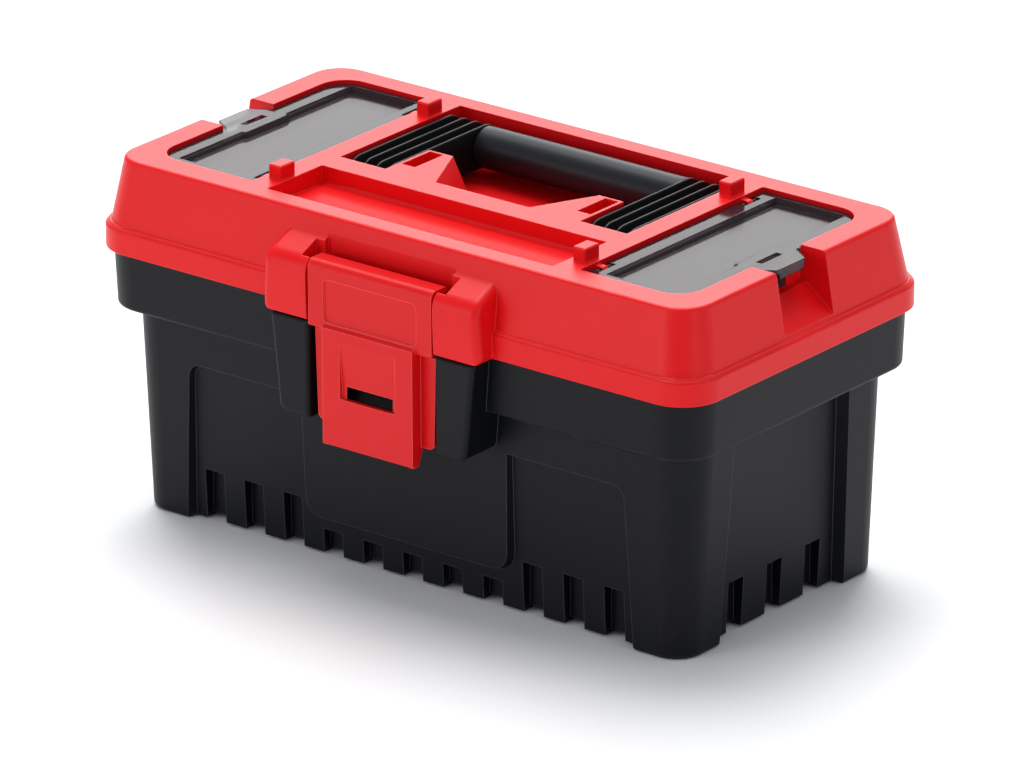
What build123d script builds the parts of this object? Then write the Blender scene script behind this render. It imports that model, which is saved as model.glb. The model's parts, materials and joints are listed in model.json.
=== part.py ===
from build123d import *
from math import hypot, sqrt
import os

# ---------------------------------------------------------------------------
# Toolbox with tray: a black tub, a hinged red lid with a fold-down handle and
# two clear organiser lids, one front latch and a lift-out tray.
# Millimetres.  X runs along the length, the latch is on the -Y side, Z is up
# and z = 0 is the ground the four feet stand on.  Everything is drawn with
# y = 0 in the middle of the lid rim; SHIFT_Y then centres the finished
# outline (latch in front, lid rim behind) over the origin.
# ---------------------------------------------------------------------------

# --- overall sizes ---------------------------------------------------------
LENGTH = 328.0          # lid rim, left to right
DEPTH = 169.0           # lid rim, front to back
RIM_Z = 121.4           # underside of the lid rim
LID_RISE = 40.6         # lid rim underside to lid top
LATCH_FRONT = 11.0      # how far the latch stands in front of the lid rim

HL = LENGTH / 2
HD = DEPTH / 2
LID_TOP = RIM_Z + LID_RISE
SHIFT_Y = LATCH_FRONT / 2

# --- walls -----------------------------------------------------------------
WALL = 2.2              # tub and lid walls
WELL_WALL = 2.0         # walls and floors of the wells moulded in the lid
SEAT_GAP = 0.3          # parts resting on each other are drawn this far apart

# --- tub -------------------------------------------------------------------
COLLAR_Z = RIM_Z - 26.6
FOOT_HL, FOOT_HD, FOOT_R = HL - 15.6, HD - 14.7, 13.0
BODY_HL, BODY_HD, BODY_R = HL - 10.4, HD - 12.3, 17.0
COLLAR_HL, COLLAR_HD, COLLAR_R = HL - 4.0, HD - 3.4, 18.0
COLLAR_TOP_HL, COLLAR_TOP_HD = HL - 2.8, HD - 2.3
RIM_TOP = RIM_Z + 3.8
LEDGE_Z = COLLAR_Z + 2.2    # ledge inside the collar that the tray rests on
FLOOR_Z = 5.0
FOOT_H = 1.2            # the panels stop this far above the feet
PANEL_IN = 4.5          # front and back panels, set in from the corner posts
PANEL_IN_TOP = 2.8      # their depth at the top, where the wall leans less
END_PANEL_IN = 5.5
PANEL_LEAN = 20         # degrees the sides of every panel lean back
PAD_OUT = 5             # cutting blocks run this far past what they cut
PANEL_TOP = COLLAR_Z - 20.5
POST_X = HL - 41.0      # inner edge of a corner post at the ground
POST_Y = HD - 40.0
NOTCH_W, NOTCH_IN = 10.6, 4.0
NOTCH_PITCH = 21.9
NOTCH_TALL, NOTCH_SHORT = 24.2, 12.3
NOTCH_LIFT = 1.6        # the notch floors end this far above the ribs between them
END_NOTCH_PITCH = 27.0
CENTRE_HW = 54.6        # raised centre panel, half width
CENTRE_Z = 19.6

# --- rear hinges -----------------------------------------------------------
HINGE_X = HL - 69.0
HINGE_Y = HD - 3.0
HINGE_Z = RIM_Z - 4.4
KNUCKLE_R = 3.0
HINGE_PIN_D = 3.0
HINGE_PIN_CLEAR = 0.05
KNUCKLE_L = 14.0

# --- latch -----------------------------------------------------------------
LATCH_HW = 33.4         # half width of the latch head
LATCH_AXIS_Y = -HD - 3.5
LATCH_AXIS_Z = RIM_Z + 22.0
LATCH_HEAD_Y = -HD - 9.0    # front face of the head
LATCH_TOP = LATCH_AXIS_Z + 4.5
LATCH_BARREL_R = 4.5
LATCH_PIN_D = 5.0
LATCH_PIN_CLEAR = 0.05
EAR_IN = 34.6           # inner faces of the two ears that carry the latch
EAR_OUT = 57.0
EAR_TOP = LID_TOP - 9.0     # where the ears run into the lid's front wall
EAR_SLOT = 4.6          # width of the open slot each latch pin drops into
BOSS_IN = 34.2
BOSS_TOP = RIM_Z - 1.8
BOSS_OUT_LOW, BOSS_OUT = 50.6, 55.4
BOSS_FRONT = -HD - 8.4
CATCH_Y = -HD - 5.0     # front of the catch bar on the tub
CATCH_HW = 21.0
EAR_FRONT = -HD - 9.6
SLAB_HW = 24.5          # half width of the thick front slab of the latch
SLAB_FOOT = RIM_Z - 54.7
LATCH_PANEL_W, LATCH_PANEL_H = 50.4, 19.1

# --- handle ----------------------------------------------------------------
WELL_X = HL - 86.0      # half length of the handle and front recesses
ARM_IN, ARM_OUT = WELL_X - 23.05, WELL_X - 2.15
RIB_T = 1.3
HANDLE_Y = -HD + 78.0
HANDLE_Z = LID_TOP - 10.0
HANDLE_END_R = 9.0
HANDLE_PIN_D = 6.0
HANDLE_PIN_CLEAR = 0.05
GRIP_Y = HD - 30.0
GRIP_Z = LID_TOP - 10.5
GRIP_D = 18.6
GRIP_BORE = 12.1
HANDLE_WELL_Z = LID_TOP - 24.0
HANDLE_WELL_Y0, HANDLE_WELL_Y1 = -HD + 67.8, HD - 18.5
DISH_Y0, DISH_Y1 = -HD + 17.8, -HD + 54.8   # front recess
DISH_DEPTH = 8.0
TONGUE_OUT, TONGUE_IN = WELL_X - 25.0, WELL_X - 52.5
TONGUE_Y = -HD + 97.9
TONGUE_TAN = 0.55       # lean of a tongue's inner side, 29 degrees

# --- organiser wells and clear lids ----------------------------------------
WIN_IN, WIN_OUT = HL - 75.2, HL - 20.2      # rebate, distance from the middle
WIN_FRONT, WIN_BACK = -HD + 21.7, HD - 20.2
WIN_R = 13.0
WELL_FLOOR = LID_TOP - 22.5
CLEAR_TOP = LID_TOP - 1.8
CLEAR_T = 2.0
CLEAR_GAP = 0.7         # open joint round a clear lid
ORG_AXIS_X = HL - 72.7
ORG_AXIS_Z = CLEAR_TOP - 1.5
ORG_PIN_D = 2.2
ORG_PIN_CLEAR = 0.06
END_NOTCH_Y0, END_NOTCH_Y1 = -16.5, 17.7    # finger notch in each end of the lid
END_NOTCH_Z = LID_TOP - 15.9
BLOCK_Y0, BLOCK_Y1 = 45.5, 55.5
BLOCK_H = 6.2           # the hinge stops stand this far above the lid
BLOCK_MID = (BLOCK_Y0 + BLOCK_Y1) / 2
ORG_WEB_HW = 1.5        # half width of the web that carries each clear lid pivot
ORG_NOTCH_HW = 5.4      # half width of the notch in the clear lid round that web
ORG_SWEEP_R = 2.4       # groove the clear lid's hinge edge turns in

# --- tray ------------------------------------------------------------------
TRAY_HL, TRAY_HD, TRAY_R = HL - 7.4, HD - 9.1, 14.8
TRAY_Z = LEDGE_Z + SEAT_GAP
TRAY_H = 21.5
TRAY_T = 1.8
TRAY_WALL_X = 52.0      # cross walls, which also carry the bridge
TRAY_WALL_HT = 0.9      # half thickness of the inner walls
BRIDGE_RISE = 6.8       # top of the carrying bridge above the tray's rim
DIV_X = HL - 60.0       # loose dividers
DIV_T = 1.5


# --- drawing helpers -------------------------------------------------------
def box(x0, x1, y0, y1, z0, z1):
    """Block between two corners."""
    return Pos((x0 + x1) / 2, (y0 + y1) / 2, (z0 + z1) / 2) * Box(
        abs(x1 - x0), abs(y1 - y0), abs(z1 - z0))


def rounded_loft(a0, b0, r0, z0, a1, b1, r1, z1):
    """Rounded rectangle (half sizes a, b, corner r) drawn out from z0 to z1."""
    low = Pos(0, 0, z0) * RectangleRounded(2 * a0, 2 * b0, r0)
    high = Pos(0, 0, z1) * RectangleRounded(2 * a1, 2 * b1, r1)
    return loft([low.faces()[0], high.faces()[0]])


def outline(points):
    """Closed flat face through (u, v) corners; a third number rounds a corner."""
    n = len(points)
    starts, edges = [], []
    for i, p in enumerate(points):
        r = p[2] if len(p) > 2 else 0
        u, v = p[0], p[1]
        if not r:
            starts.append(((u, v), (u, v)))
            continue
        pu, pv = points[i - 1][:2]
        nu, nv = points[(i + 1) % n][:2]
        du, dv = pu - u, pv - v
        eu, ev = nu - u, nv - v
        dl, el = hypot(du, dv), hypot(eu, ev)
        du, dv, eu, ev = du / dl, dv / dl, eu / el, ev / el
        cos_full = du * eu + dv * ev
        half = sqrt((1 - cos_full) / 2), sqrt((1 + cos_full) / 2)
        back = r * half[1] / half[0]
        mu, mv = du + eu, dv + ev
        ml = hypot(mu, mv)
        reach = r / half[0] - r
        a = (u + du * back, v + dv * back)
        b = (u + eu * back, v + ev * back)
        mid = (u + mu / ml * reach, v + mv / ml * reach)
        starts.append((a, b))
        edges.append(ThreePointArc(a, mid, b))
    for i in range(n):
        a, b = starts[i][1], starts[(i + 1) % n][0]
        if hypot(a[0] - b[0], a[1] - b[1]) > 1e-6:
            edges.append(Line(a, b))
    return make_face(edges)


def along_x(points, x0, x1):
    """Outline in (y, z) drawn from x0 to x1."""
    return extrude(Plane.YZ.offset(x0) * outline(points), x1 - x0)


def along_y(points, y0, y1):
    """Outline in (x, z) drawn from y0 (front) to y1 (back)."""
    return extrude(Plane.XZ.offset(-y1) * outline(points), y1 - y0)


def along_z(points, z0, z1):
    """Outline in (x, y) drawn from z0 to z1."""
    return extrude(Plane.XY.offset(z0) * outline(points), z1 - z0)


def rod_x(y, z, r, x0, x1):
    return Pos((x0 + x1) / 2, y, z) * Rot(0, 90, 0) * Cylinder(r, abs(x1 - x0))


def rod_y(x, z, r, y0, y1):
    return Pos(x, (y0 + y1) / 2, z) * Rot(90, 0, 0) * Cylinder(r, abs(y1 - y0))


def both(shape):
    """The shape and its mirror image on the other side of the middle plane."""
    return [shape, mirror(shape, Plane.YZ)]


def front_back(shape):
    return [shape, mirror(shape, Plane.XZ)]


# --- tub -------------------------------------------------------------------
def tub_body(inset_x=0.0, inset_y=0.0, z0=0.0, z1=LEDGE_Z):
    """The drafted lower body, drawn in by the given insets."""
    def at(z):
        t = z / COLLAR_Z
        a = FOOT_HL + (BODY_HL - FOOT_HL) * t - inset_x
        b = FOOT_HD + (BODY_HD - FOOT_HD) * t - inset_y
        r = FOOT_R + (BODY_R - FOOT_R) * t - min(inset_x, inset_y)
        return a, b, max(r, 2.0), z
    return rounded_loft(*at(z0), *at(z1))


def front_recess_outline(grow=0.0):
    """Panel recess between the corner posts, stepping round the raised centre."""
    slope = 4.0 / PANEL_TOP
    top = PANEL_TOP + grow
    post = POST_X + grow
    mid = CENTRE_HW - grow
    return [(-post, -4), (-post + slope * top, top, 7),
            (-mid - 1.2, top), (-mid, CENTRE_Z - grow, 8), (mid, CENTRE_Z - grow, 8),
            (mid + 1.2, top), (post - slope * top, top, 7), (post, -4)]


def make_tub():
    body = tub_body()
    body = fillet(body.edges().group_by(Axis.Z)[0], 2.4)
    collar = rounded_loft(COLLAR_HL, COLLAR_HD, COLLAR_R, COLLAR_Z,
                          COLLAR_TOP_HL, COLLAR_TOP_HD, COLLAR_R + 0.6, RIM_TOP)
    collar = fillet(collar.edges().group_by(Axis.Z)[0], 1.8)
    outer = body + collar

    # bosses either side of the latch, and the knuckle blocks of the hinges
    boss = along_y([(BOSS_IN, COLLAR_Z - 20.2, 1.5), (BOSS_OUT_LOW, COLLAR_Z - 20.2, 5),
                    (BOSS_OUT, BOSS_TOP, 1.2), (BOSS_IN, BOSS_TOP)],
                   BOSS_FRONT, -HD + 13.5)
    boss = fillet(boss.edges().group_by(Axis.Y)[0], 2.2)
    outer = outer + both(boss)

    # inside: lower room, wider upper room with the tray ledge between them
    low = tub_body(WALL, WALL, FLOOR_Z, LEDGE_Z + 0.1)
    high = rounded_loft(COLLAR_HL - WALL, COLLAR_HD - WALL, COLLAR_R - WALL,
                        LEDGE_Z, COLLAR_TOP_HL - WALL, COLLAR_TOP_HD - WALL,
                        COLLAR_R - WALL + 0.6, RIM_TOP + 1)
    tub = outer - low - high

    # the wall follows every panel and notch on the inside
    span = box(-POST_X - 2, POST_X + 2, -HD, HD, 1, PANEL_TOP + WALL)
    low_span = box(-POST_X - 2, POST_X + 2, -HD, HD, 1, NOTCH_TALL + WALL)
    ends = box(-HL, HL, -POST_Y - 2, POST_Y + 2, 1, LEDGE_Z)
    low_ends = box(-HL, HL, -POST_Y - 2, POST_Y + 2, 1, NOTCH_TALL + WALL)
    solid = tub_body(1.0, 1.0)
    pads = [
        (solid & span) - tub_body(-PAD_OUT, PANEL_IN + WALL, -1, RIM_Z),
        (solid & low_span) - tub_body(-PAD_OUT, PANEL_IN + NOTCH_IN + WALL, -1, RIM_Z),
        (solid & ends) - tub_body(END_PANEL_IN + WALL, -PAD_OUT, -1, RIM_Z),
        (solid & low_ends) - tub_body(END_PANEL_IN + NOTCH_IN + WALL, -PAD_OUT, -1, RIM_Z),
    ]
    for pad in pads:
        tub = tub + pad

    # panels set in between the corner posts, sides leaning 20 degrees
    lean = (BODY_HD - FOOT_HD) / COLLAR_Z
    face = Plane(origin=(0, -FOOT_HD - 1, 0), x_dir=(1, 0, 0), z_dir=(0, -1, -lean))
    recess = extrude(face * outline(front_recess_outline()), -(PANEL_IN + 1), taper=PANEL_LEAN)
    top_y = FOOT_HD + lean * PANEL_TOP - PANEL_IN_TOP
    recess = recess & along_x([(-HD, -5), (-FOOT_HD + PANEL_IN, -5), (-FOOT_HD + PANEL_IN, 0),
                               (-top_y, PANEL_TOP + 1), (-HD, PANEL_TOP + 1)], -HL, HL)
    tub = tub - front_back(recess)
    lean = (BODY_HL - FOOT_HL) / COLLAR_Z
    face = Plane(origin=(FOOT_HL + 1, 0, 0), x_dir=(0, 1, 0), z_dir=(1, 0, -lean))
    end = extrude(face * outline([(-POST_Y, -4), (-POST_Y + 4, COLLAR_Z + 3),
                                  (POST_Y - 4, COLLAR_Z + 3), (POST_Y, -4)]),
                  -(END_PANEL_IN + 1), taper=PANEL_LEAN)
    end = end & box(-HL, HL, -HD, HD, -5, COLLAR_Z)
    tub = tub - both(end)

    # vertical notches along the bottom edge
    notches = []
    for k in range(-5, 6):
        x = k * NOTCH_PITCH
        tall = NOTCH_TALL if abs(k) > 2 else NOTCH_SHORT
        deep = FOOT_HD - PANEL_IN - NOTCH_IN
        notches += front_back(box(x - NOTCH_W / 2, x + NOTCH_W / 2,
                                  -FOOT_HD - 5, -deep, -1, tall))
        notches += front_back(box(x - NOTCH_W / 2, x + NOTCH_W / 2,
                                  -deep - 1, -deep + WALL, -1, FOOT_H + NOTCH_LIFT))
    for k in (-1, 0, 1):
        y = k * END_NOTCH_PITCH
        deep = FOOT_HL - END_PANEL_IN - NOTCH_IN
        notches += both(box(deep, FOOT_HL + 8, y - NOTCH_W / 2, y + NOTCH_W / 2,
                            -1, NOTCH_TALL))
        notches += both(box(deep - WALL, deep + 1, y - NOTCH_W / 2, y + NOTCH_W / 2,
                            -1, FOOT_H + NOTCH_LIFT))
    tub = tub - notches

    # the underside stands on the four corner posts only
    tub = tub - [box(-POST_X, POST_X, -HD, HD, -1, FOOT_H),
                 box(-HL, HL, -POST_Y, POST_Y, -1, FOOT_H),
                 box(-FOOT_HL + 18, FOOT_HL - 18, -FOOT_HD + 15, FOOT_HD - 15, -1, FOOT_H + 1.3)]

    # catch bar the latch hook snaps under
    catch = along_x([(-BODY_HD + 2, COLLAR_Z - 16), (CATCH_Y + 2.5, COLLAR_Z - 10.6),
                     (CATCH_Y, COLLAR_Z - 10.3, 0.6), (CATCH_Y, COLLAR_Z - 7, 0.6),
                     (-COLLAR_HD - 1.0, COLLAR_Z + 4), (-BODY_HD + 2, COLLAR_Z + 1)],
                    -CATCH_HW, CATCH_HW)
    tub = tub + catch

    # rear hinge: knuckles either side of the lid knuckle
    for s in (-1, 1):
        x = s * HINGE_X
        half = KNUCKLE_L / 2
        tub = tub + box(x - half - 10, x + half + 10, HINGE_Y - 5.3, HINGE_Y - 1,
                        HINGE_Z - 5.6, RIM_TOP - 1.6)
        tub = tub - rod_x(HINGE_Y, HINGE_Z, KNUCKLE_R + 0.5, x - half - 0.4, x + half + 0.4)
        tub = tub - box(x - half - 0.4, x + half + 0.4, HINGE_Y - 0.1, HINGE_Y + 6,
                        HINGE_Z - KNUCKLE_R - 0.5, HINGE_Z + 3)
        for x0 in (x - half - 8, x + half + 0.4):
            tub = tub + rod_x(HINGE_Y, HINGE_Z, KNUCKLE_R, x0, x0 + 7.6)
        tub = tub - rod_x(HINGE_Y, HINGE_Z, HINGE_PIN_D / 2 + HINGE_PIN_CLEAR,
                          x - half - 8.1, x + half + 8.1)
    return tub


def make_hinge_pin(s):
    half = KNUCKLE_L / 2 + 7.8
    return chamfer(rod_x(HINGE_Y, HINGE_Z, HINGE_PIN_D / 2, s * HINGE_X - half,
                         s * HINGE_X + half).edges(), 0.4)


# --- lid -------------------------------------------------------------------
def window(grow, z0, z1, s=1):
    """Rebate outline of one organiser opening, wide corners on the outside."""
    r = WIN_R + grow
    x0, x1 = WIN_IN - grow, WIN_OUT + grow
    y0, y1 = WIN_FRONT - grow, WIN_BACK + grow
    shape = along_z([(x0, y0, 1), (x1, y0, r), (x1, y1, r), (x0, y1, 1)], z0, z1)
    return shape if s > 0 else mirror(shape, Plane.YZ)


def tongue(drop):
    """One top-level tongue beside an arm slot; its inner side leans 29 degrees."""
    def at(extra):
        return outline([(TONGUE_OUT, HANDLE_WELL_Y0 - 4), (TONGUE_OUT, TONGUE_Y),
                        (TONGUE_IN + 14.5 - extra, TONGUE_Y),
                        (TONGUE_IN - extra, HANDLE_WELL_Y0),
                        (TONGUE_IN - extra, HANDLE_WELL_Y0 - 4)])
    low = Plane.XY.offset(LID_TOP - drop) * at(drop * TONGUE_TAN)
    high = Plane.XY.offset(LID_TOP) * at(0)
    return loft([low.faces()[0], high.faces()[0]])


def make_lid():
    flange = extrude(Pos(0, 0, RIM_Z) * RectangleRounded(LENGTH, DEPTH, 19), 11.2)
    flange = fillet(flange.edges().group_by(Axis.Z)[-1], 1.4)
    flange = fillet(flange.edges().group_by(Axis.Z)[0], 0.6)
    upper = rounded_loft(HL - 1.8, HD - 1.8, 17.5, RIM_Z + 9,
                         HL - 7.1, HD - 7.9, 15.0, LID_TOP)
    upper = fillet(upper.edges().group_by(Axis.Z)[-1], 1.8)
    # a fine bead runs round the foot of the wall, just above the step
    bead = extrude(Pos(0, 0, RIM_Z + 9) * RectangleRounded(LENGTH - 2.6, DEPTH - 2.6, 17.7), 3.3)
    bead = fillet(bead.edges().group_by(Axis.Z)[-1], 0.6)
    outer = flange + upper + bead

    # flat band between the ears, then the two ears themselves, each with an
    # open slot behind its inner face for the latch pin
    outer = outer - box(-EAR_IN - 0.4, EAR_IN + 0.4, -HD - 5, -HD + 6.5,
                        RIM_Z + 13, LID_TOP + 1)
    ear = along_x([(-HD + 1.9, RIM_Z - 1.4), (EAR_FRONT + 0.6, RIM_Z - 1.4, 1.2),
                   (EAR_FRONT, RIM_Z + 12), (EAR_FRONT, EAR_TOP - 6.9, 8),
                   (-HD + 5.9, EAR_TOP), (-HD + 11, EAR_TOP),
                   (-HD + 11, RIM_Z + 10), (-HD + 1.9, RIM_Z + 10)], EAR_IN, EAR_OUT + 6)
    side = along_y([(EAR_IN - 1, RIM_Z - 3), (EAR_OUT + 2.6, RIM_Z - 3),
                    (EAR_OUT, EAR_TOP + 5), (EAR_IN - 1, EAR_TOP + 5)], -HD - 12, -HD + 13)
    ear = ear & side
    rim_edges = ear.edges().filter_by(
        lambda e: e.center().X > EAR_OUT - 1 and e.center().Y < -HD - 2
        and e.center().Z > RIM_Z - 1)
    ear = fillet(rim_edges, 4.0)
    pin_r = LATCH_PIN_D / 2 + LATCH_PIN_CLEAR
    slot = box(EAR_IN - 1, EAR_IN + EAR_SLOT, LATCH_AXIS_Y - pin_r, -HD + 4.0,
               LATCH_AXIS_Z, LID_TOP)
    outer = outer + both(ear - slot)

    # inside: groove over the tub rim, then the hollow of the lid
    groove = extrude(Pos(0, 0, RIM_Z - 6) * RectangleRounded(
        LENGTH - 4.6, DEPTH - 3.6, 17.2), 6 + RIM_TOP - RIM_Z + SEAT_GAP)
    hollow = rounded_loft(HL - 4.6, HD - 4.3, 16.0, RIM_TOP,
                          HL - 9.4, HD - 10.2, 13.0, LID_TOP - WALL)
    lid = outer - groove - hollow

    # material round the wells
    shell = (upper & box(-HL, HL, -HD, HD, RIM_TOP + 6, LID_TOP - 0.1))
    x0, x1 = WIN_IN + 2.9, WIN_OUT - 2.4
    y0, y1 = WIN_FRONT + 2.4, WIN_BACK - 2.4
    t = WELL_WALL
    rebate_z = CLEAR_TOP - CLEAR_T - SEAT_GAP
    pads = []
    for s in (-1, 1):
        pads.append(box(s * (x0 - t), s * (x1 + t), y0 - t, y1 + t, WELL_FLOOR - t, LID_TOP - 1))
        pads.append(window(t, rebate_z - 3.2, LID_TOP - 1, s))
    notch_pad = along_y([(WIN_OUT - 2, LID_TOP - 1), (WIN_OUT - 2, END_NOTCH_Z - 2.5),
                         (WIN_OUT + 4.6, END_NOTCH_Z - 2.5), (HL - 3, RIM_Z + 10),
                         (HL + 4, RIM_Z + 10), (HL + 4, LID_TOP - 1)],
                        END_NOTCH_Y0 - WALL, END_NOTCH_Y1 + WALL)
    pads += both(notch_pad & shell)
    pads.append(box(-WELL_X - t, WELL_X + t, HANDLE_WELL_Y0 - t, HANDLE_WELL_Y1 + t,
                    HANDLE_WELL_Z - t, LID_TOP - 1))
    dish_pad = along_x([(DISH_Y0 - t, LID_TOP - 1), (DISH_Y0 - t, LID_TOP - 4.5),
                        (-HD + 30, LID_TOP - DISH_DEPTH - WALL),
                        (DISH_Y1 + t, LID_TOP - DISH_DEPTH - WALL),
                        (DISH_Y1 + t, LID_TOP - 1)], -WELL_X - t, WELL_X + t)
    pads.append(dish_pad)
    for pad in pads:
        lid = lid + pad

    # organiser wells, their rebates and the end notches
    for s in (-1, 1):
        well = along_z([(s * x0, y0, 2), (s * x1, y0, WIN_R - 3), (s * x1, y1, WIN_R - 3),
                        (s * x0, y1, 2)], WELL_FLOOR, LID_TOP + 1)
        lid = lid - well - window(0, rebate_z, LID_TOP + 1, s)
        lid = lid - rod_y(s * ORG_AXIS_X, ORG_AXIS_Z, ORG_SWEEP_R, WIN_FRONT + 0.4, WIN_BACK - 0.4)
    notch = along_y([(WIN_OUT - 0.4, LID_TOP + 8), (WIN_OUT - 0.4, END_NOTCH_Z, 1),
                     (WIN_OUT + 3.4, END_NOTCH_Z), (HL - 1.7, RIM_Z + 12.9),
                     (HL + 6, RIM_Z + 12.9), (HL + 6, LID_TOP + 8)], END_NOTCH_Y0, END_NOTCH_Y1)
    lid = lid - both(notch)

    # front recess: upright at the back, sweeping up to the front edge
    dish = along_x([(DISH_Y0, LID_TOP + 2), (DISH_Y0, LID_TOP - 1.2),
                    (-HD + 33, LID_TOP - DISH_DEPTH, 30), (DISH_Y1, LID_TOP - DISH_DEPTH, 1.5),
                    (DISH_Y1, LID_TOP + 2)], -WELL_X + 0.5, WELL_X - 0.5)
    lid = lid - dish

    # handle well with its two tongues, each with a slim pocket
    well = box(-WELL_X, WELL_X, HANDLE_WELL_Y0, HANDLE_WELL_Y1, HANDLE_WELL_Z, LID_TOP + 1)
    tongues = both(tongue(LID_TOP - HANDLE_WELL_Z + 0.5))
    lid = lid - (well - tongues)
    pocket = box(TONGUE_OUT - 8.8, TONGUE_OUT - 1.5, HANDLE_WELL_Y0 + 9.2, TONGUE_Y - 1.3,
                 LID_TOP - 9, LID_TOP + 1)
    lid = lid - both(pocket)

    # hinge stops, and beside each a thin web with the clear lid's pivot bore
    for s in (-1, 1):
        for mid in (-BLOCK_MID, BLOCK_MID):
            half = (BLOCK_Y1 - BLOCK_Y0) / 2
            block = box(s * (WIN_IN - 9.6), s * (WIN_IN - 2.7), mid - half, mid + half,
                        LID_TOP - 2, LID_TOP + BLOCK_H)
            block = fillet(block.edges().filter_by(
                lambda e: e.center().Z > LID_TOP + 1), 0.9)
            web = along_y([(ORG_AXIS_X - 3.2, rebate_z - 3), (ORG_AXIS_X + 2.0, rebate_z - 3, 0.5),
                           (ORG_AXIS_X + 2.0, ORG_AXIS_Z + 1.9, 1.9),
                           (ORG_AXIS_X - 3.2, ORG_AXIS_Z + 1.9)],
                          mid - ORG_WEB_HW, mid + ORG_WEB_HW)
            web = web if s > 0 else mirror(web, Plane.YZ)
            bore = rod_y(s * ORG_AXIS_X, ORG_AXIS_Z, ORG_PIN_D / 2 + ORG_PIN_CLEAR,
                         mid - ORG_WEB_HW - 1, mid + ORG_WEB_HW + 1)
            lid = lid + block + web - bore
    bore = HANDLE_PIN_D / 2 + HANDLE_PIN_CLEAR
    lid = lid - both(rod_x(HANDLE_Y, HANDLE_Z, bore, WELL_X - 28.2, WELL_X + t + 0.5))
    lid = lid - both(rod_x(LATCH_AXIS_Y, LATCH_AXIS_Z, pin_r, EAR_IN - 1, EAR_IN + EAR_SLOT))

    # lid knuckles hang from the rim
    for s in (-1, 1):
        x = s * HINGE_X
        half = KNUCKLE_L / 2
        arm = along_x([(HINGE_Y + 1.2, HINGE_Z), (HD, HINGE_Z), (HD, RIM_Z + 2),
                       (HINGE_Y + 1.2, RIM_Z + 2)], x - half, x + half)
        lid = lid + [rod_x(HINGE_Y, HINGE_Z, KNUCKLE_R, x - half, x + half), arm]
        lid = lid - rod_x(HINGE_Y, HINGE_Z, HINGE_PIN_D / 2 + HINGE_PIN_CLEAR,
                          x - half - 1, x + half + 1)
    return lid


# --- latch -----------------------------------------------------------------
def make_latch():
    plate = LATCH_HEAD_Y + 2.5
    front = -HD - LATCH_FRONT
    head = along_x([(LATCH_HEAD_Y, RIM_Z - 3.4, 1.0), (LATCH_HEAD_Y, LATCH_TOP, 3.6),
                    (-HD + 1.8, LATCH_TOP, 1.2), (-HD + 1.8, LATCH_TOP - 2.6, 1.0),
                    (LATCH_AXIS_Y, LATCH_AXIS_Z), (plate, LATCH_AXIS_Z - 6),
                    (plate, RIM_Z - 3.4)], -LATCH_HW, LATCH_HW)
    barrel = rod_x(LATCH_AXIS_Y, LATCH_AXIS_Z, LATCH_BARREL_R, -LATCH_HW + 0.4, LATCH_HW - 0.4)
    wing_x = LATCH_HW - 0.5
    wings = along_y([(-wing_x + 1.3, RIM_Z - 46.4, 3), (-wing_x, RIM_Z - 3.4),
                     (wing_x, RIM_Z - 3.4), (wing_x - 1.3, RIM_Z - 46.4, 3)],
                    -HD - 5.2, -HD - 3.0)
    bridge = along_x([(plate - 0.1, RIM_Z + 2.5), (LATCH_HEAD_Y, RIM_Z - 2.4),
                      (-HD - 5.2, RIM_Z - 4.6), (-HD - 3.0, RIM_Z - 4.6),
                      (-HD - 3.0, RIM_Z - 2)], -wing_x, wing_x)
    slab = along_x([(front, SLAB_FOOT, 1.0), (front, RIM_Z - 1.8),
                    (LATCH_HEAD_Y, RIM_Z - 0.6), (plate, RIM_Z - 0.6),
                    (plate, RIM_Z - 8), (front + 2.4, RIM_Z - 9),
                    (front + 2.4, SLAB_FOOT, 0.6)], -SLAB_HW, SLAB_HW)
    cheek = along_x([(front + 0.5, SLAB_FOOT), (front + 0.5, RIM_Z - 4),
                     (-HD - 4, RIM_Z - 4), (-HD - 4, RIM_Z - 48), (front + 4, SLAB_FOOT)],
                    SLAB_HW - WALL, SLAB_HW)
    latch = head + barrel + wings + bridge + slab + both(cheek)

    # blank panel, sloping finger window and the slot at its foot
    panel = extrude(Plane.XZ.offset(-LATCH_HEAD_Y - 0.8) * Pos(0, RIM_Z + 9.7)
                    * RectangleRounded(LATCH_PANEL_W, LATCH_PANEL_H, 2.6), 4)
    ramp = along_x([(front - 0.2, RIM_Z - 3.9), (front + 1.7, RIM_Z - 26),
                    (front + 1.7, RIM_Z - 32), (front - 0.2, RIM_Z - 32)], -15, 15)
    slot = box(-12.6, 12.6, front - 1, front + 6, RIM_Z - 32.2, RIM_Z - 26.4)
    latch = latch - panel - ramp - slot

    # hook bead inside, pivots outside
    hook = along_x([(front + 2.3, RIM_Z - 44), (CATCH_Y - SEAT_GAP - 0.1, RIM_Z - 40),
                    (CATCH_Y - SEAT_GAP - 0.1, RIM_Z - 37.4), (front + 2.3, RIM_Z - 37.4)],
                   -20, 20)
    gap = box(WALL - SLAB_HW, SLAB_HW - WALL, front + 2.4, -HD - 2, RIM_Z - 60, RIM_Z - 10)
    latch = latch - gap + hook
    return latch + both(rod_x(LATCH_AXIS_Y, LATCH_AXIS_Z, LATCH_PIN_D / 2,
                              LATCH_HW - 1, EAR_IN + EAR_SLOT - 0.3))


# --- handle ----------------------------------------------------------------
def arm_outline(inset=0.0):
    """Side view of an arm: a bar with two round ends."""
    r0, r1 = HANDLE_END_R - inset, GRIP_D / 2 + 0.4 - inset
    c0, c1 = Pos(HANDLE_Y, HANDLE_Z) * Circle(r0), Pos(GRIP_Y, GRIP_Z) * Circle(r1)
    bar = make_face(Polyline((HANDLE_Y, HANDLE_Z + r0), (GRIP_Y, GRIP_Z + r1),
                             (GRIP_Y, GRIP_Z - r1), (HANDLE_Y, HANDLE_Z - r0), close=True))
    return c0 + c1 + bar


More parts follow.
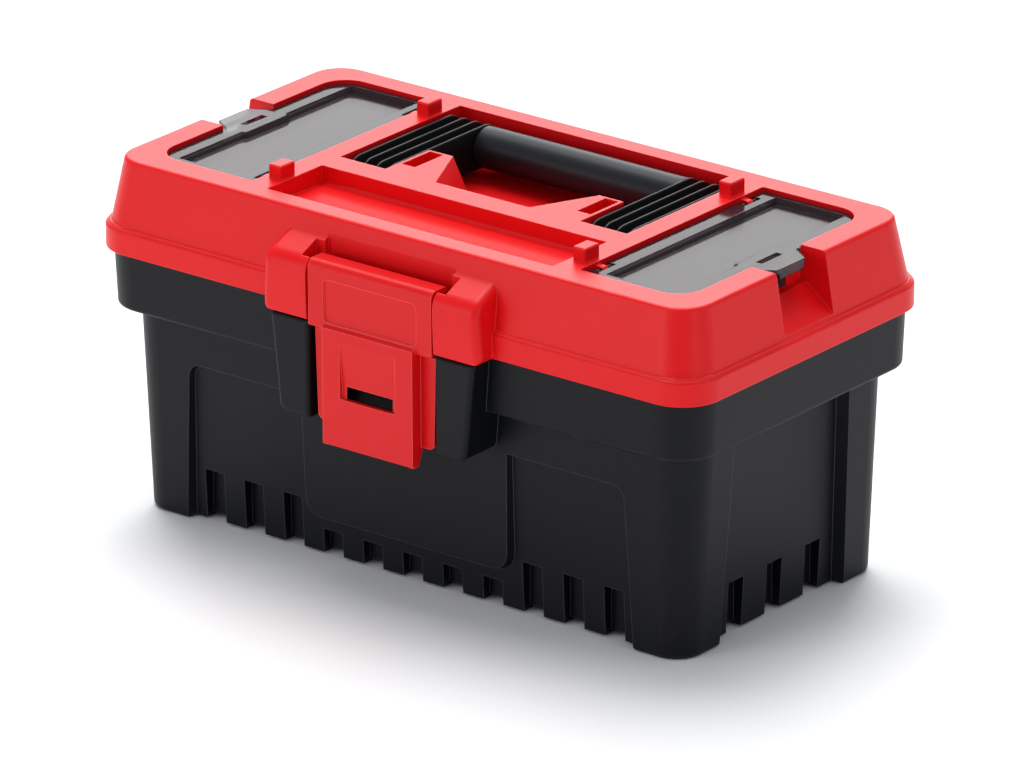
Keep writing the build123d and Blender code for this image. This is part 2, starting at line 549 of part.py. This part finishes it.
def make_arm(s):
    step = (ARM_OUT - ARM_IN - RIB_T) / 3
    parts = []
    for k in range(4):
        x = ARM_IN + k * step
        rib = extrude(Plane.YZ.offset(x) * arm_outline(), RIB_T)
        parts.append(rib)
    web = extrude(Plane.YZ.offset(ARM_IN + 0.4) * arm_outline(4.6), ARM_OUT - ARM_IN - 0.8)
    spigot = rod_x(GRIP_Y, GRIP_Z, GRIP_BORE / 2 - 0.05, ARM_IN - 12, ARM_IN + 1)
    outer_pin = rod_x(HANDLE_Y, HANDLE_Z, HANDLE_PIN_D / 2, ARM_OUT - 1, WELL_X + 1.8)
    inner_pin = rod_x(HANDLE_Y, HANDLE_Z, HANDLE_PIN_D / 2, WELL_X - 28.0, ARM_IN + 1)
    arm = web + parts + [spigot, outer_pin, inner_pin]
    return arm if s > 0 else mirror(arm, Plane.YZ)


def make_grip():
    half = ARM_IN - 0.1
    tube = rod_x(GRIP_Y, GRIP_Z, GRIP_D / 2, -half, half)
    tube = fillet(tube.edges(), 0.5)
    return tube - rod_x(GRIP_Y, GRIP_Z, GRIP_BORE / 2, -half - 1, half + 1)


# --- clear organiser lid ---------------------------------------------------
def make_organiser_lid(s):
    g = CLEAR_GAP
    x0, x1 = WIN_IN + 1.1, WIN_OUT - g
    y0, y1 = WIN_FRONT + g, WIN_BACK - g
    r = WIN_R - g
    z0, z1 = CLEAR_TOP - CLEAR_T, CLEAR_TOP
    plate = along_z([(x0, y0, 0.8), (x1, y0, r), (x1, y1, r), (x0, y1, 0.8)], z0, z1)
    # sunken middle
    px0, px1 = WIN_IN + 10.6, WIN_OUT - 9.8
    py0, py1 = WIN_FRONT + 7.3, WIN_BACK - 4.3
    pan = along_z([(px0 - 1.6, py0 - 1.6, 1.6), (px1 + 1.6, py0 - 1.6, 6),
                   (px1 + 1.6, py1 + 1.6, 6), (px0 - 1.6, py1 + 1.6, 1.6)], z1 - 4.0, z0 + 0.5)
    sunk = extrude(Plane.XY.offset(z1) * outline(
        [(px0 - 1.2, py0 - 1.2), (px1 + 1.0, py0 - 1.2), (px1 + 1.0, -14.5), (px1 - 0.8, -13.5),
         (px1 - 0.8, 14.5), (px1 + 1.0, 15.5), (px1 + 1.0, py1 + 1.0), (px0 - 1.2, py1 + 1.0)]),
        -2.5, taper=30)
    # finger tab over the end notch, lip at its edge, catch below it
    tab = along_z([(x1 - 2, -15), (x1 + 1, -14.6), (x1 + 9.2, -9.5, 1.0), (x1 + 9.2, 9.9, 1.0),
                   (x1 + 1, 15.2), (x1 - 2, 15.6)], z0, z1)
    lip = box(x1 + 7.6, x1 + 9.2, -8.2, 8.6, z0 - 2.4, z0 + 0.5)
    catch = box(x1 + 0.6, x1 + 2.2, -5.0, 5.4, z0 - 10.6, z0 + 0.5)
    lid = (plate + pan + tab + lip + catch) - sunk
    lid = lid - box(x1 - 4.1, x1 - 1.1, -7, 7.4, z0 - 1, z1 + 1)
    # notched round each web of the lid, with a pin reaching in from either side
    for mid in (-BLOCK_MID, BLOCK_MID):
        lid = lid - box(x0 - 1, ORG_AXIS_X + 2.6, mid - ORG_NOTCH_HW, mid + ORG_NOTCH_HW,
                        z0 - 3, z1 + 1)
        for out in (-1, 1):
            edge = mid + out * ORG_NOTCH_HW
            lid = lid + rod_y(ORG_AXIS_X, ORG_AXIS_Z, 1.5, edge, edge + out * 3.6)
            lid = lid + rod_y(ORG_AXIS_X, ORG_AXIS_Z, ORG_PIN_D / 2,
                              edge + out * 1.0, mid + out * 0.3)
    return lid if s > 0 else mirror(lid, Plane.YZ)


# --- tray and its dividers -------------------------------------------------
def make_tray():
    a, b, r = TRAY_HL, TRAY_HD, TRAY_R
    z0, z1 = TRAY_Z, TRAY_Z + TRAY_H
    tray = rounded_loft(a - 0.6, b - 0.6, r, z0, a, b, r, z1)
    tray = fillet(tray.edges().group_by(Axis.Z)[0], 1.5)
    tray = tray - rounded_loft(a - TRAY_T - 0.6, b - TRAY_T - 0.6, r - TRAY_T, z0 + TRAY_T,
                               a - TRAY_T, b - TRAY_T, r - TRAY_T, z1 + 1)
    inside = rounded_loft(a - 1.4, b - 1.4, r - 1, z0 + 0.5, a - 0.8, b - 0.8, r - 1, z1)
    ht = TRAY_WALL_HT
    walls = box(-HL, HL, -ht, ht, z0 + 0.5, z1 - 2)
    for x in (-TRAY_WALL_X, TRAY_WALL_X):
        walls = walls + box(x - ht, x + ht, -HD, HD, z0 + 0.5, z1 - 2)
    tray = tray + (walls & inside)
    # carrying bridge along the middle
    top = z1 + BRIDGE_RISE
    end = TRAY_WALL_X + ht
    bridge = along_x([(-9, top - 1.8), (-7.5, top, 1), (7.5, top, 1), (9, top - 1.8),
                      (7.2, top - 1.8), (6.8, top - 1.2), (-6.8, top - 1.2), (-7.2, top - 1.8)],
                     -end, end)
    spine = box(-end, end, -ht, ht, z1 - 3, top - 0.8)
    hand_hole = along_y([(-40, z1 - 12, 4), (40, z1 - 12, 4), (40, z1 + 2.4, 4),
                         (-40, z1 + 2.4, 4)], -2, 2)
    gusset = along_x([(-9, z1 + 5.2), (9, z1 + 5.2), (3, z1 - 3), (3, z0 + 1), (-3, z0 + 1),
                      (-3, z1 - 3)], end - 2 * ht, end)
    tray = tray + bridge + spine + both(gusset)
    tray = tray - hand_hole
    # grooves that hold the loose dividers in the front half
    for s in (-1, 1):
        x = s * DIV_X
        for y0, y1 in ((-b + 1.0, -b + TRAY_T + 1.8), (-2.4, -0.5)):
            rib = box(x - 2.2, x + 2.2, y0, y1, z0 + 0.6, z1 - 3)
            tray = tray + rib
        tray = tray - box(x - ht, x + ht, -b + TRAY_T + 0.4, -ht - 0.2, z0 + TRAY_T, z1 + 1)
    return tray


def make_divider(s):
    b = TRAY_HD
    x = s * DIV_X
    z0, z1 = TRAY_Z + TRAY_T + SEAT_GAP, TRAY_Z + TRAY_H - 2.6
    y0, y1 = -b + TRAY_T + 0.6, -1.3
    plate = box(x - DIV_T / 2, x + DIV_T / 2, y0, y1, z0, z1)
    return plate - rod_x((y0 + y1) / 2, z1 + 5, 9, x - 2, x + 2)


# --- export ----------------------------------------------------------------
PIECES = {
    "base_tub": make_tub,
    "lid_shell": make_lid,
    "lid_hinge_pin_left": lambda: make_hinge_pin(-1),
    "lid_hinge_pin_right": lambda: make_hinge_pin(1),
    "front_latch": make_latch,
    "handle_arm_left": lambda: make_arm(-1),
    "handle_arm_right": lambda: make_arm(1),
    "handle_grip": make_grip,
    "organiser_lid_left": lambda: make_organiser_lid(-1),
    "organiser_lid_right": lambda: make_organiser_lid(1),
    "tray_body": make_tray,
    "tray_divider_left": lambda: make_divider(-1),
    "tray_divider_right": lambda: make_divider(1),
}

os.makedirs("parts", exist_ok=True)
for name, make in PIECES.items():
    piece = Pos(0, SHIFT_Y, 0) * make()
    solids = piece.solids()
    size = piece.bounding_box()
    print(f"{name}: {len(solids)} solid(s), {sum(s.volume for s in solids) / 1000:.1f} cm3, "
          f"x {size.min.X:.1f}..{size.max.X:.1f} y {size.min.Y:.1f}..{size.max.Y:.1f} "
          f"z {size.min.Z:.1f}..{size.max.Z:.1f}")
    export_step(piece, f"parts/{name}.step")
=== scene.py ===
# %% [markdown]
# # A plastic toolbox with a lift-out tray
# The box is moulded in polypropylene: a black tub, a red lid with wells in its
# top, a ribbed carrying handle, two smoked clear organiser lids and one latch.
# The sizes come from the CAD frame, which is loaded first and never moved.

# %% Load the frame
import json
import math
import bmesh
import bpy
import numpy as np
from mathutils import Matrix, Vector


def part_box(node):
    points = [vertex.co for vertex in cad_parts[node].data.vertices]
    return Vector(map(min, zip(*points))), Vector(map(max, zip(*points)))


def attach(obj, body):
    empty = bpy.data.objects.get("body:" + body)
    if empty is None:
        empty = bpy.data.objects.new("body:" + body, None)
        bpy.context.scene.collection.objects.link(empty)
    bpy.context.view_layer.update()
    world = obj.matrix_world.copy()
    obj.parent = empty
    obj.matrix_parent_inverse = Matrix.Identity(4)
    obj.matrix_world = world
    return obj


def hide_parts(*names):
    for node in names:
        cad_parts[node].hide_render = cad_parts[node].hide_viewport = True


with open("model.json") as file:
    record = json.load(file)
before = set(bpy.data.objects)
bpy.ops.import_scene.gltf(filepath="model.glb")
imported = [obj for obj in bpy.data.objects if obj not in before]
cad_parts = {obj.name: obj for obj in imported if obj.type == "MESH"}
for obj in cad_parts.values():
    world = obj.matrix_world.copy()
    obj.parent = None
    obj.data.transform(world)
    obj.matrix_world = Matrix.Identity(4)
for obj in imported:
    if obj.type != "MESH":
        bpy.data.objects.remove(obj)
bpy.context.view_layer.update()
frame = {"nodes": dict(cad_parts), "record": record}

MM = 0.001
nodes = frame["nodes"]
print("nodes:", ", ".join(sorted(nodes)))


# %% [markdown]
# ## Camera
# A long lens from the front right corner, a little above the lid, so that the
# long sides stay nearly parallel.  A short lens close by would make the near
# corner loom, which a product picture avoids.

# %% Camera
AZIMUTH, ELEVATION, ROLL = math.radians(38.427), math.radians(21.165), math.radians(-0.271)
DISTANCE = 4.4793
LENS, SENSOR = 365.84, 36.0
TARGET = Vector((0.00254, 0.0055, 0.07236))


def aim_camera():
    """Back vector from azimuth and elevation; right and up are turned by the roll."""
    back = Vector((math.sin(AZIMUTH) * math.cos(ELEVATION),
                   -math.cos(AZIMUTH) * math.cos(ELEVATION), math.sin(ELEVATION)))
    side = Vector((math.cos(AZIMUTH), math.sin(AZIMUTH), 0))
    up = back.cross(side)
    right = math.cos(ROLL) * side + math.sin(ROLL) * up
    upward = -math.sin(ROLL) * side + math.cos(ROLL) * up
    data = bpy.data.cameras.new("camera")
    data.lens, data.sensor_width = LENS, SENSOR
    data.clip_start, data.clip_end = 0.1, 60.0
    camera = bpy.data.objects.new("camera", data)
    turn = Matrix((right, upward, back)).transposed()
    camera.matrix_world = Matrix.Translation(TARGET + back * DISTANCE) @ turn.to_4x4()
    bpy.context.scene.collection.objects.link(camera)
    bpy.context.scene.camera = camera
    return camera


camera = aim_camera()
print("camera stands", round(camera.location.length, 2), "m away")


# %% [markdown]
# ## Floor and light
# A pale room gives a little light from all round, and four softboxes do the
# rest.  The one overhead stands slightly to the left and behind, so that the
# shadow is dark at the feet and falls forward and to the right.  The one behind
# is large and low, where the flat top of the lid mirrors it, which gives the
# top a pale sheen while the upright walls keep their full colour.  The front
# and right ones stand low: they light the walls but hardly the floor, where a
# higher lamp would wash the shadow out.

# %% Floor, world and softboxes
def floor():
    """One large square of white board under the feet."""
    mesh = bpy.data.meshes.new("floor")
    reach = 30.0
    mesh.from_pydata([(-reach, -reach, 0), (reach, -reach, 0), (reach, reach, 0),
                      (-reach, reach, 0)], [], [(0, 1, 2, 3)])
    obj = bpy.data.objects.new("floor", mesh)
    bpy.context.scene.collection.objects.link(obj)
    return obj


def softbox(name, place, size, watts, look_at=(0, 0, 0.08)):
    """A square area light turned to face a point."""
    data = bpy.data.lights.new(name, "AREA")
    data.shape, data.size, data.energy = "SQUARE", size, watts
    obj = bpy.data.objects.new(name, data)
    obj.location = place
    away = Vector(place) - Vector(look_at)
    obj.rotation_mode = "QUATERNION"
    obj.rotation_quaternion = away.to_track_quat("Z", "Y")
    bpy.context.scene.collection.objects.link(obj)
    return obj


ROOM_LIGHT = 0.45
board = floor()
for lamp, place, size, watts in (("softbox_back", (-2.1, 2.7, 1.35), 2.6, 60),
                                 ("softbox_front", (-1.2, -3.0, 0.75), 1.6, 25),
                                 ("softbox_top", (-0.6, 0.65, 2.5), 1.8, 62),
                                 ("softbox_right", (3.0, -0.7, 0.8), 1.4, 9)):
    softbox(lamp, place, size, watts)
    print(lamp, watts, "W")
world = bpy.data.worlds.new("studio")
world.use_nodes = True
world.node_tree.nodes["Background"].inputs["Color"].default_value = (0.91, 0.945, 1, 1)
world.node_tree.nodes["Background"].inputs["Strength"].default_value = ROOM_LIGHT
bpy.context.scene.world = world
bpy.context.scene.view_settings.view_transform = "Standard"
print("room light", ROOM_LIGHT)


# %% [markdown]
# ## Material helpers
# Colours are written as sRGB hex values, which is how plastics are matched on a
# screen, and one function turns them to the linear values that light needs.
# One function adds a node, sets it and links it, so that each finish below
# reads as a list of what it does.

# %% Helpers
def linear(hex_colour):
    """sRGB hex to linear RGBA: below 0.04045 divided by 12.92, else a 2.4 power."""
    raw = np.array([int(hex_colour[i:i + 2], 16) for i in (1, 3, 5)]) / 255
    low, high = raw / 12.92, ((raw + 0.055) / 1.055) ** 2.4
    return (*np.where(raw <= 0.04045, low, high).tolist(), 1.0)


def add_node(material, kind, links=None, sockets=None, **settings):
    """Adds one node: settings are its own properties, sockets its inputs by name or
    number, and links maps an input to the output that feeds it."""
    node = material.node_tree.nodes.new(kind)
    for key, value in settings.items():
        setattr(node, key, value)
    for key, value in (sockets or {}).items():
        node.inputs[key].default_value = value
    for key, source in (links or {}).items():
        material.node_tree.links.new(source, node.inputs[key])
    return node


def new_material(name):
    material = bpy.data.materials.new(name)
    material.use_nodes = True
    material.node_tree.nodes.clear()
    return material


def finish_material(material, shader):
    """Feeds the shader to the surface output."""
    out = add_node(material, "ShaderNodeOutputMaterial")
    material.node_tree.links.new(shader.outputs["BSDF"], out.inputs["Surface"])
    print("material", material.name)
    return material


# %% [markdown]
# ## Polypropylene
# The tub, lid, latch, handle and tray are injection-moulded polypropylene.  The
# steel mould is spark eroded, which leaves a fine satin grain, and the melt
# cools a little unevenly, so the gloss wanders slowly over a large wall.  A
# moulding has no knife edges: the edges are rounded by the tool and catch the
# light as thin pale lines.  The Bevel node gives such rounding without touching
# the mesh, and the same node tells the shader where the edges are, so that a
# paler colour is painted along them as a highlight.

# %% Polypropylene
EDGE_SHARP, EDGE_ROUND = 0.999, 0.93    # cosines between the face and its rounded edge
GLOSS_SPREAD = 0.04                     # how far the roughness wanders either way
GRAIN_HEIGHT = 0.012                    # mm


def edge_mask(m, radius, samples):
    """Rounded normal, and a mask: 0 where it agrees with the true normal, 1 along an
    edge, where the two directions part.  radius is in millimetres."""
    rounded = add_node(m, "ShaderNodeBevel", sockets={"Radius": radius * MM}, samples=samples)
    flat = add_node(m, "ShaderNodeNewGeometry").outputs["True Normal"]
    along = add_node(m, "ShaderNodeVectorMath", {0: rounded.outputs["Normal"], 1: flat},
                     operation="DOT_PRODUCT")
    rim = add_node(m, "ShaderNodeMapRange", {"Value": along.outputs["Value"]},
                   {"From Min": EDGE_SHARP, "From Max": EDGE_ROUND, "To Min": 0.0, "To Max": 1.0})
    return rounded.outputs["Normal"], rim.outputs["Result"]


def polypropylene(name, colour, shade, painted_edge_colour, roughness, specular, grain, edge):
    """Moulded polypropylene.  colour and shade are mixed by slow noise, painted_edge_colour is a
    painted highlight along rounded edges; grain and edge radius are in millimetres."""
    m = new_material(name)
    place = add_node(m, "ShaderNodeTexCoord").outputs["Object"]
    slow = add_node(m, "ShaderNodeTexNoise", {"Vector": place}, {"Scale": 14.0, "Detail": 3.0})
    # eroded grain is about 0.1 mm across; it is drawn coarser so that it shows
    fine = add_node(m, "ShaderNodeTexNoise", {"Vector": place},
                    {"Scale": 1 / (2 * grain * MM), "Detail": 2.0})
    tint = add_node(m, "ShaderNodeMix", {"Factor": slow.outputs["Fac"]},
                    {6: linear(colour), 7: linear(shade)}, data_type="RGBA")
    rounded, rim = edge_mask(m, edge, 6)
    # painted highlight: the paler painted_edge_colour is mixed in along the edges
    colour_mix = add_node(m, "ShaderNodeMix", {"Factor": rim, 6: tint.outputs[2]},
                          {7: linear(painted_edge_colour)}, data_type="RGBA")
    rough = add_node(m, "ShaderNodeMapRange", {"Value": slow.outputs["Fac"]},
                     {"To Min": roughness - GLOSS_SPREAD, "To Max": roughness + GLOSS_SPREAD})
    skin = add_node(m, "ShaderNodeBump", {"Height": fine.outputs["Fac"], "Normal": rounded},
                    {"Strength": 0.4, "Distance": GRAIN_HEIGHT * MM})
    shader = add_node(m, "ShaderNodeBsdfPrincipled",
                      {"Base Color": colour_mix.outputs[2], "Roughness": rough.outputs["Result"],
                       "Normal": skin.outputs["Normal"]},
                      {"IOR": 1.49, "Specular IOR Level": specular})
    return finish_material(m, shader)


# the fourth colour of each finish is the painted highlight along its edges
RED = polypropylene("red_polypropylene", "#E60D13", "#DE0B11", "#FF403E", 0.38, 0.24, 0.3, 0.5)
LATCH_RED = polypropylene("latch_red_polypropylene", "#DE0D13", "#D80B11", "#FF5450",
                          0.36, 0.26, 0.3, 0.6)
BLACK = polypropylene("black_polypropylene", "#0C0E13", "#0A0B10", "#4A4B50", 0.45, 0.18, 0.3, 0.5)
HANDLE = polypropylene("handle_black_polypropylene", "#0E0F10", "#0B0C0D", "#2A2B2D",
                       0.4, 0.3, 0.3, 0.3)
GRIP = polypropylene("grip_grey_polypropylene", "#1E2126", "#1B1E23", "#34363A",
                     0.4, 0.22, 0.25, 0.3)


# %% [markdown]
# ## Smoked styrene
# The organiser lids are clear polystyrene with a little black dye, polished in
# the mould.  Seen at a low angle the sheet mirrors the pale room, so it looks
# grey and half solid.  A grey body that lets part of the light through gives
# that at once, where true refraction in a sheet this thin costs many samples
# and shows little more.

# %% Smoked styrene
CLEAR_EDGE, WAVE_HEIGHT = 0.7, 0.02     # mm


def smoked_styrene(name, body, clearness, painted_edge_colour):
    """Grey half-clear body, glossy skin with the slight waves of a thin moulding, and
    a darker, denser colour painted along its edges: painted shade for the dark outline
    that the bent light and the longer path through the sheet give there."""
    m = new_material(name)
    place = add_node(m, "ShaderNodeTexCoord").outputs["Object"]
    wave = add_node(m, "ShaderNodeTexNoise", {"Vector": place}, {"Scale": 30.0, "Detail": 2.0})
    rounded, rim = edge_mask(m, CLEAR_EDGE, 8)
    # an edge bends the light away, so it mirrors less and shows as a dark outline
    mirror = add_node(m, "ShaderNodeMapRange", {"Value": rim},
                      {"To Min": 0.25, "To Max": 0.03})
    # painted shade: a darker painted_edge_colour and a less see-through body draw the dark outline
    tint = add_node(m, "ShaderNodeMix", {"Factor": rim},
                    {6: linear(body), 7: linear(painted_edge_colour)}, data_type="RGBA")
    dense = add_node(m, "ShaderNodeMapRange", {"Value": rim},
                     {"To Min": 1 - clearness, "To Max": 0.95})
    skin = add_node(m, "ShaderNodeBump",
                    {"Height": wave.outputs["Fac"], "Normal": rounded},
                    {"Strength": 0.1, "Distance": WAVE_HEIGHT * MM})
    shader = add_node(m, "ShaderNodeBsdfPrincipled",
                      {"Base Color": tint.outputs[2], "Alpha": dense.outputs["Result"],
                       "Specular IOR Level": mirror.outputs["Result"],
                       "Normal": skin.outputs["Normal"]}, {"IOR": 1.57, "Roughness": 0.12})
    return finish_material(m, shader)


# the last colour is the dark outline painted along the edges as shade
CLEAR = smoked_styrene("smoked_styrene", "#2C252A", 0.3, "#141518")


# %% [markdown]
# ## Drawn steel and white board
# The hinge pins are plain drawn wire: a metal whose gloss runs in streaks.  The
# table top is matt white board.

# %% Drawn steel and white board
STREAK = 0.5                            # mm


def drawn_steel(name):
    """Steel wire: streaks about STREAK apart change the roughness."""
    m = new_material(name)
    place = add_node(m, "ShaderNodeTexCoord").outputs["Object"]
    streaks = add_node(m, "ShaderNodeTexNoise", {"Vector": place},
                       {"Scale": 1 / (2 * STREAK * MM), "Detail": 2.0})
    rough = add_node(m, "ShaderNodeMapRange", {"Value": streaks.outputs["Fac"]},
                     {"To Min": 0.25, "To Max": 0.4})
    shader = add_node(m, "ShaderNodeBsdfPrincipled", {"Roughness": rough.outputs["Result"]},
                      {"Metallic": 1.0, "Base Color": linear("#C4C4C6")})
    return finish_material(m, shader)


def white_board(name):
    """Matt white card."""
    m = new_material(name)
    shader = add_node(m, "ShaderNodeBsdfPrincipled",
                      sockets={"Roughness": 0.95, "Base Color": linear("#FFFFFF"),
                               "Specular IOR Level": 0.1})
    return finish_material(m, shader)


STEEL = drawn_steel("drawn_steel_pin")
board.data.materials.append(white_board("white_board"))


# %% [markdown]
# ## Surfaces from formulas
# A new piece is a grid of points worked out in one go: one number runs round a
# closed outline, the other along a profile.  The faces join each point to its
# neighbours, and the two numbers may each close on themselves.

# %% Surface helpers
def grid_faces(rows, columns, wrap_rows, wrap_columns):
    """Quads between neighbouring rows and columns; a wrapped direction joins its last
    line to its first."""
    r = np.arange(rows if wrap_rows else rows - 1)[:, None]
    c = np.arange(columns if wrap_columns else columns - 1)[None, :]
    r2, c2 = (r + 1) % rows, (c + 1) % columns
    corners = [r * columns + c, r * columns + c2, r2 * columns + c2, r2 * columns + c]
    return np.stack([np.broadcast_to(k, (r.size, c.size)) for k in corners], -1).reshape(-1, 4)


def surface_object(name, grids, material, body, replaced):
    """Builds one mesh from several grids of points in millimetres.  Coincident points
    are merged, which closes seams and poles, and the faces are turned outwards."""
    points, faces, start = [], [], 0
    for grid, wrap_rows, wrap_columns in grids:
        points.append(grid.reshape(-1, 3) * MM)
        faces.append(grid_faces(grid.shape[0], grid.shape[1], wrap_rows, wrap_columns) + start)
        start += grid.shape[0] * grid.shape[1]
    mesh = bpy.data.meshes.new(name)
    mesh.from_pydata(np.concatenate(points).tolist(), [], np.concatenate(faces).tolist())
    solid = bmesh.new()
    solid.from_mesh(mesh)
    bmesh.ops.remove_doubles(solid, verts=solid.verts, dist=1e-6)
    bmesh.ops.dissolve_degenerate(solid, edges=solid.edges, dist=1e-6)
    bmesh.ops.recalc_face_normals(solid, faces=solid.faces)
    for face in solid.faces:
        face.smooth = True
    for edge in solid.edges:
        edge.smooth = edge.calc_face_angle(0.0) < math.radians(40)
    open_edges = sum(1 for edge in solid.edges if not edge.is_manifold)
    solid.to_mesh(mesh)
    solid.free()
    mesh.materials.append(material)
    obj = bpy.data.objects.new(name, mesh)
    bpy.context.scene.collection.objects.link(obj)
    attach(obj, body)
    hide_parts(*replaced)
    print(name, len(mesh.polygons), "faces,", open_edges, "open edges")
    return obj


def arc(centre_u, centre_v, radius, start, stop, count):
    """Points on a circle in a plane, from one angle to another in degrees."""
    angle = np.radians(np.linspace(start, stop, count))
    return np.stack([centre_u + radius * np.cos(angle), centre_v + radius * np.sin(angle)], -1)


def turned(profile, y, z, count=96):
    """A profile of (x, radius) points turned about the line along X through (y, z)."""
    angle = np.linspace(0, 2 * np.pi, count, endpoint=False)[:, None]
    x = np.broadcast_to(profile[None, :, 0], (count, len(profile)))
    r = profile[None, :, 1]
    return np.stack([x, y + r * np.cos(angle), z + r * np.sin(angle)], -1)


# %% [markdown]
# ## Grip
# The grip is a thick tube pressed between the two arms.  As a surface it is a
# closed profile, outer wall, rounded end, bore and the other end, turned about
# the tube's own axis, so the ends are really hollow and really rounded.

# %% Grip
grip_box = [np.array(corner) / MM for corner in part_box("handle_grip")]
GRIP_Y, GRIP_Z = ((grip_box[0] + grip_box[1]) / 2)[1:]
GRIP_R = (grip_box[1][2] - grip_box[0][2]) / 2
GRIP_HALF = grip_box[1][0]
BORE_R, END_R = 6.05, 0.9


def grip_profile():
    """Outer wall, a quarter round of END_R, the end face, then back along the bore."""
    near, far = GRIP_HALF - END_R, -GRIP_HALF + END_R
    outer_near = arc(near, GRIP_R - END_R, END_R, 90, 0, 6)
    outer_far = arc(far, GRIP_R - END_R, END_R, 180, 90, 6)
    wall = np.stack([np.linspace(far, near, 24)[1:-1], np.full(22, GRIP_R)], -1)
    bore = np.array([[GRIP_HALF, BORE_R + 0.3], [GRIP_HALF - 0.3, BORE_R],
                     [-GRIP_HALF + 0.3, BORE_R], [-GRIP_HALF, BORE_R + 0.3]])
    return np.concatenate([wall, outer_near, bore, outer_far])


surface_object("carrying_grip", [(turned(grip_profile(), GRIP_Y, GRIP_Z), True, True)],
               GRIP, "handle", ["handle_grip"])


# %% [markdown]
# ## Ribbed arms
# Each arm is a flat bar with round ends and four ribs, moulded so that the wall
# is thin everywhere.  Seen end on, its outline is two circles and the band
# between them.  The arm is that outline drawn in and out by a comb: across the
# width, the distance from the core is large on a rib and small between ribs,
# with every rib tip rounded, and it falls to nothing at both sides, where the
# surface closes on the core line.

# %% Ribbed arms
arm_box = [np.array(corner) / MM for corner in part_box("handle_arm_right")]
hinge = next(joint for joint in frame["record"]["behaviour"]["joints"]
             if joint["name"] == "handle_hinge")
PIVOT_Y, PIVOT_Z = hinge["pos_m"][1] / MM, hinge["pos_m"][2] / MM
PIVOT_R = PIVOT_Y - arm_box[0][1]
EYE_R = arm_box[1][1] - GRIP_Y
SPIGOT_R, PIN_R = 6.0, 3.0
RIB, RIB_COUNT, ROOT = 1.3, 4, 4.6
ARM_IN = GRIP_HALF + 0.1
ARM_OUT = ARM_IN + 20.9
PIN_IN, PIN_OUT = arm_box[0][0] + 7.0, arm_box[1][0]


def arm_core():
    """Core point, outward direction and reach, round the outline: half a turn about the
    pivot, along the bottom, half a turn about the grip's eye and back along the top."""
    pivot, eye = np.radians(np.linspace(90, 270, 33)), np.radians(np.linspace(-90, 90, 33))
    run = np.linspace(0, 1, 26)[1:-1]
    share = np.concatenate([np.zeros(33), run, np.ones(33), run[::-1]])
    angle = np.concatenate([pivot, np.full(24, -np.pi / 2), eye, np.full(24, np.pi / 2)])
    core = np.stack([PIVOT_Y + (GRIP_Y - PIVOT_Y) * share,
                     PIVOT_Z + (GRIP_Z - PIVOT_Z) * share], -1)
    outward = np.stack([np.cos(angle), np.sin(angle)], -1)
    reach = PIVOT_R + (EYE_R - PIVOT_R) * share
    return core, outward, reach


def comb():
    """Distance along X and inset from the rim: 0 on a rib's tip, ROOT between ribs, each
    tip a half round as wide as the rib, each root turned by a small fillet."""
    pitch = (ARM_OUT - ARM_IN - RIB) / (RIB_COUNT - 1)
    tip = arc(0, RIB / 2, RIB / 2, 180, 360, 9)
    x, inset = [], []
    for k in range(RIB_COUNT):
        middle = ARM_IN + RIB / 2 + k * pitch
        if k:
            x += [middle - RIB / 2 - 0.9, middle - RIB / 2 - 0.3, middle - RIB / 2]
            inset += [ROOT, ROOT - 0.25, ROOT - 0.9]
        x += (middle + tip[:, 0]).tolist()
        inset += (RIB / 2 + (tip[:, 1] - RIB / 2)).tolist()
        if k < RIB_COUNT - 1:
            x += [middle + RIB / 2, middle + RIB / 2 + 0.3, middle + RIB / 2 + 0.9]
            inset += [ROOT - 0.9, ROOT - 0.25, ROOT]
    return np.array(x), np.array(inset)


def arm_grid():
    """core + outward * (reach - inset), with the first and last column on the core."""
    core, outward, reach = arm_core()
    x, inset = comb()
    far = np.clip(reach[:, None] - inset[None, :], 0, None)
    far = np.concatenate([np.zeros((len(reach), 1)), far, np.zeros((len(reach), 1))], 1)
    x = np.concatenate([x[:1], x, x[-1:]])
    yz = core[:, None, :] + outward[:, None, :] * far[:, :, None]
    return np.concatenate([np.broadcast_to(x[None, :, None], (*far.shape, 1)), yz], -1)


def rod(x0, x1, radius, y, z, nose=0.5):
    """A solid round bar along X with rounded noses, closed on its axis at both ends."""
    profile = np.concatenate([[[x0, 0]], arc(x0 + nose, radius - nose, nose, 180, 90, 5),
                              arc(x1 - nose, radius - nose, nose, 90, 0, 5), [[x1, 0]]])
    return turned(profile, y, z, 48)


for side, sign in (("left", -1), ("right", 1)):
    grids = [(arm_grid(), True, False),
             (rod(PIN_IN, ARM_IN + 1, PIN_R, PIVOT_Y, PIVOT_Z), True, False),
             (rod(ARM_OUT - 1, PIN_OUT, PIN_R, PIVOT_Y, PIVOT_Z), True, False),
             (rod(ARM_IN - 12, ARM_IN + 1, SPIGOT_R, GRIP_Y, GRIP_Z), True, False)]
    grids = [(grid * [sign, 1, 1], rows, columns) for grid, rows, columns in grids]
    surface_object(f"ribbed_arm_{side}", grids, HANDLE, "handle",
                   [f"handle_arm_{side}"])


# %% [markdown]
# ## Dress the moulded parts
# The tub, lid, latch, tray and organiser lids already have their true shape in
# the frame, so they keep it and only take their finish.

# %% Dress the CAD parts
finish_of = {"base_tub": BLACK, "lid_shell": RED, "front_latch": LATCH_RED,
             "organiser_lid_left": CLEAR, "organiser_lid_right": CLEAR,
             "lid_hinge_pin_left": STEEL, "lid_hinge_pin_right": STEEL,
             "tray_body": BLACK, "tray_divider_left": BLACK, "tray_divider_right": BLACK}
for name, material in finish_of.items():
    nodes[name].data.materials.clear()
    nodes[name].data.materials.append(material)
    print(name, "wears", material.name)
